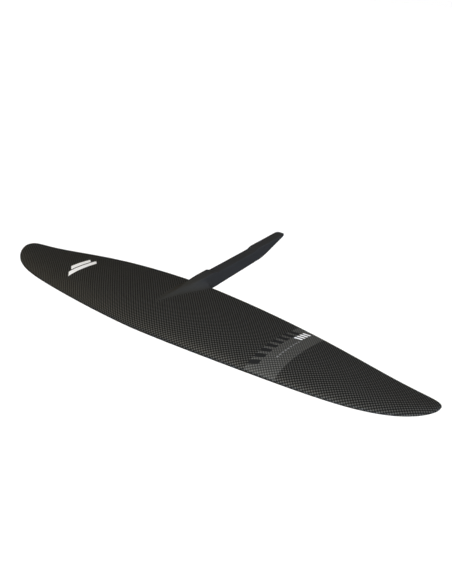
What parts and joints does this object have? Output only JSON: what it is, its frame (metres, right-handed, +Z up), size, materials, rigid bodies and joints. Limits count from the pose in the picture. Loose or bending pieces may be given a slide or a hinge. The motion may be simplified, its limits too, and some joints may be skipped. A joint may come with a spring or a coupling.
{
  "type": "hydrofoil front wing",
  "caption": "Swept, drooping carbon hydrofoil front wing with a long slim tang that runs back from its root to fix it under a board's mast.",
  "frame": {"origin": "middle of the flat seat on top of the tang, between its front pad and its rear tongue", "axes": "+X along the span to the right tip, +Y aft along the tang, +Z up out of the seat"},
  "size_m": [1.0894, 0.5107, 0.0785],
  "materials": {
    "carbon_weave": "clear-coated woven carbon",
    "satin_carbon": "satin moulded black",
    "foam_core": "cut foam",
    "dense_core": "machined dense foam",
    "spar_carbon": "raw unidirectional carbon",
    "bonding_paste": "cured filled epoxy",
    "stainless_steel": "turned stainless",
    "white_print": "white print under clear coat",
    "grey_print": "see-through grey print under clear coat",
    "dark_print": "dark print under clear coat",
    "pale_print": "pale grey print under clear coat"
  },
  "bodies": {
    "root": {"upper_skin": "carbon_weave", "lower_skin": "carbon_weave", "front_core": "foam_core", "left_rear_core": "foam_core", "right_rear_core": "foam_core", "upper_spar_cap": "spar_carbon", "lower_spar_cap": "spar_carbon", "spar_web": "spar_carbon", "root_block": "dense_core", "leading_edge_strip": "bonding_paste", "trailing_edge_strip": "bonding_paste", "left_tip_filler": "bonding_paste", "right_tip_filler": "bonding_paste", "tang": "satin_carbon", "threaded_inserts": "stainless_steel", "upper_fairing": "satin_carbon", "lower_fairing": "satin_carbon", "emblem": "white_print", "accent_band": "grey_print", "band_marks": "dark_print", "fine_marks": "pale_print", "size_marks": "white_print"}
  },
  "joints": []
}
